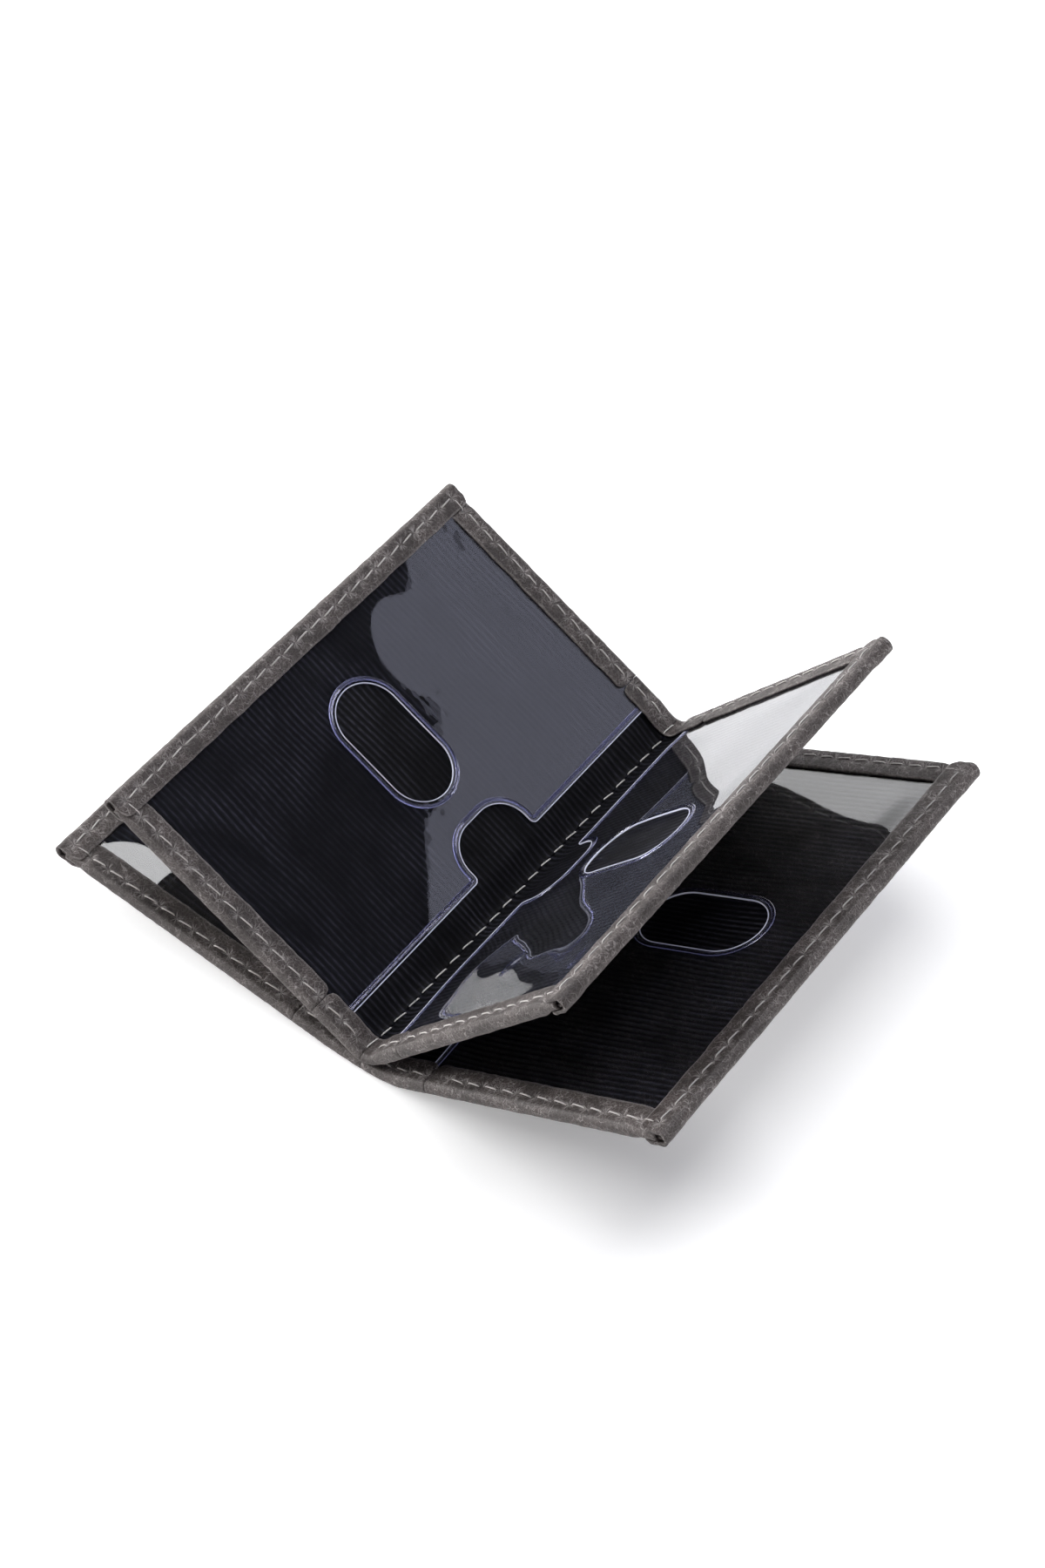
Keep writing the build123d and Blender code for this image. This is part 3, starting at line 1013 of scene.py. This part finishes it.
def area_light(name, place, size, power, colour=(1, 1, 1), aim=(0, 0, 0.02)):
    data = bpy.data.lights.new(name, "AREA")
    data.shape = "RECTANGLE"
    data.size, data.size_y = size
    data.energy = power
    data.color = colour
    holder = bpy.data.objects.new(name, data)
    bpy.context.scene.collection.objects.link(holder)
    direction = Vector(aim) - Vector(place)
    holder.matrix_world = Matrix.Translation(place) @ direction.to_track_quat("-Z", "Y").to_matrix().to_4x4()


def world():
    """Dim above, white towards the horizon, like a studio with a pale surround."""
    scene_world = bpy.data.worlds.new("studio")
    scene_world.use_nodes = True
    nodes, links = scene_world.node_tree.nodes, scene_world.node_tree.links
    height = nodes.new("ShaderNodeSeparateXYZ")
    links.new(nodes.new("ShaderNodeTexCoord").outputs["Generated"], height.inputs[0])
    ramp = nodes.new("ShaderNodeValToRGB")
    ramp.color_ramp.elements[0].position = 0.20
    ramp.color_ramp.elements[0].color = (1.0, 1.0, 1.0, 1)
    ramp.color_ramp.elements[1].position = 0.42
    ramp.color_ramp.elements[1].color = (0.015, 0.015, 0.02, 1)
    links.new(height.outputs["Z"], ramp.inputs["Fac"])
    links.new(ramp.outputs["Color"], nodes["Background"].inputs["Color"])
    nodes["Background"].inputs["Strength"].default_value = 1.9
    bpy.context.scene.world = scene_world


# Glow of the white table by distance from the object, as (metres, strength) near and far
GLOW_NEAR = (0.2, 0.35)
GLOW_FAR = (0.9, 1.0)

# Spot under the raised corner of the cover where that glow is halved: a painted shadow that deepens the cast
# shadow there
SHADE_CENTRE = (0.045, -0.055, 0.0)
SHADE_CORE = 0.02
SHADE_REACH = 0.042


def floor():
    """White table that glows a little, more out towards the surround, with a painted shadow where its glow is
    lowered under the raised corner.
    """
    mesh = bpy.data.meshes.new("floor")
    reach = 6.0
    mesh.from_pydata([(-reach, -reach, 0), (reach, -reach, 0), (reach, reach, 0), (-reach, reach, 0)],
                     [], [(0, 1, 2, 3)])
    material, nodes, links = new_material("white_table")
    shader = nodes["Principled BSDF"]
    place = nodes.new("ShaderNodeTexCoord").outputs["Object"]
    grain = texture(nodes, links, "ShaderNodeTexNoise", place, Scale=3.0)
    links.new(mix_colour(nodes, links, grain.outputs["Fac"], (0.9, 0.9, 0.9), (0.92, 0.92, 0.92)),
              shader.inputs["Base Color"])
    distance = nodes.new("ShaderNodeVectorMath")
    distance.operation = "LENGTH"
    links.new(place, distance.inputs[0])
    surround = remap(nodes, links, distance.outputs["Value"], GLOW_NEAR[0], GLOW_FAR[0],
                     GLOW_NEAR[1], GLOW_FAR[1])
    from_shade = nodes.new("ShaderNodeVectorMath")
    from_shade.operation = "DISTANCE"
    links.new(place, from_shade.inputs[0])
    from_shade.inputs[1].default_value = SHADE_CENTRE
    # Painted shadow: the table's glow is halved at the shade spot and rises back to full beyond its reach
    painted_shade = remap(nodes, links, from_shade.outputs["Value"], SHADE_CORE, SHADE_REACH, 0.5, 1.0)
    links.new(maths(nodes, links, "MULTIPLY", surround, painted_shade), shader.inputs["Emission Strength"])
    shader.inputs["Emission Color"].default_value = (1.0, 1.0, 1.0, 1.0)
    shader.inputs["Roughness"].default_value = 0.9
    shader.inputs["Specular IOR Level"].default_value = 0.1
    mesh.materials.append(material)
    piece = bpy.data.objects.new("floor", mesh)
    bpy.context.scene.collection.objects.link(piece)


def lights():
    area_light("main_softbox", (-0.054, 0.254, 1.172), (0.7, 0.7), 9.0)
    area_light("left_key", (-0.98, -0.35, 0.50), (0.7, 0.6), 16.0)
    area_light("dim_ceiling", (-0.28, 1.99, 2.23), (2.4, 1.2), 5.8, (0.86, 0.90, 1.15))
    area_light("back_panel", (2.41, 3.20, 3.13), (5.0, 2.53), 38.5, (0.88, 0.90, 1.12), (-2.41, -3.20, 3.13))


# ---------------------------------------------------------------- build

camera()
world()
floor()
lights()
bpy.context.scene.view_settings.view_transform = "Standard"

LEAVES = [Leaf(name) for name in ("cover_left", "cover_right", "inner_left", "inner_right")]
for each in LEAVES:
    free_strip(each)
    side_strips(each)
    spine_strips(each)
    edge_stitches(each)
    outer_leather(each)
    stiffener(each)
    lining(each)
    window(each)
spine_seam()
